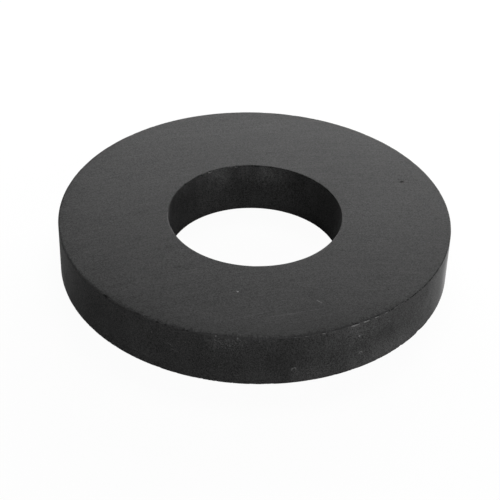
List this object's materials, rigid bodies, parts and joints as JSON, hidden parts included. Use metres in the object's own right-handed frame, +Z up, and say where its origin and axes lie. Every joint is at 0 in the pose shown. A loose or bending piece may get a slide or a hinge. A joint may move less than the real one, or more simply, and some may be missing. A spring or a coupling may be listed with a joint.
{
  "type": "ring magnet",
  "caption": "Flat ring magnet of sintered ferrite with a plain centre bore, for holding, sensing or loudspeaker use.",
  "frame": {"origin": "centre of the lower ground face, on the bore's axis", "axes": "+Z runs up the bore, through the thickness; the ring is round, so X and Y only fix where the rim flakes lie"},
  "size_m": [0.072, 0.072, 0.01],
  "materials": {
    "ferrite": "dark grey sintered ferrite: ground matt on both flat faces, dull as fired on the outside and in the bore"
  },
  "bodies": {
    "root": {"ring_magnet": "ferrite"}
  },
  "joints": []
}
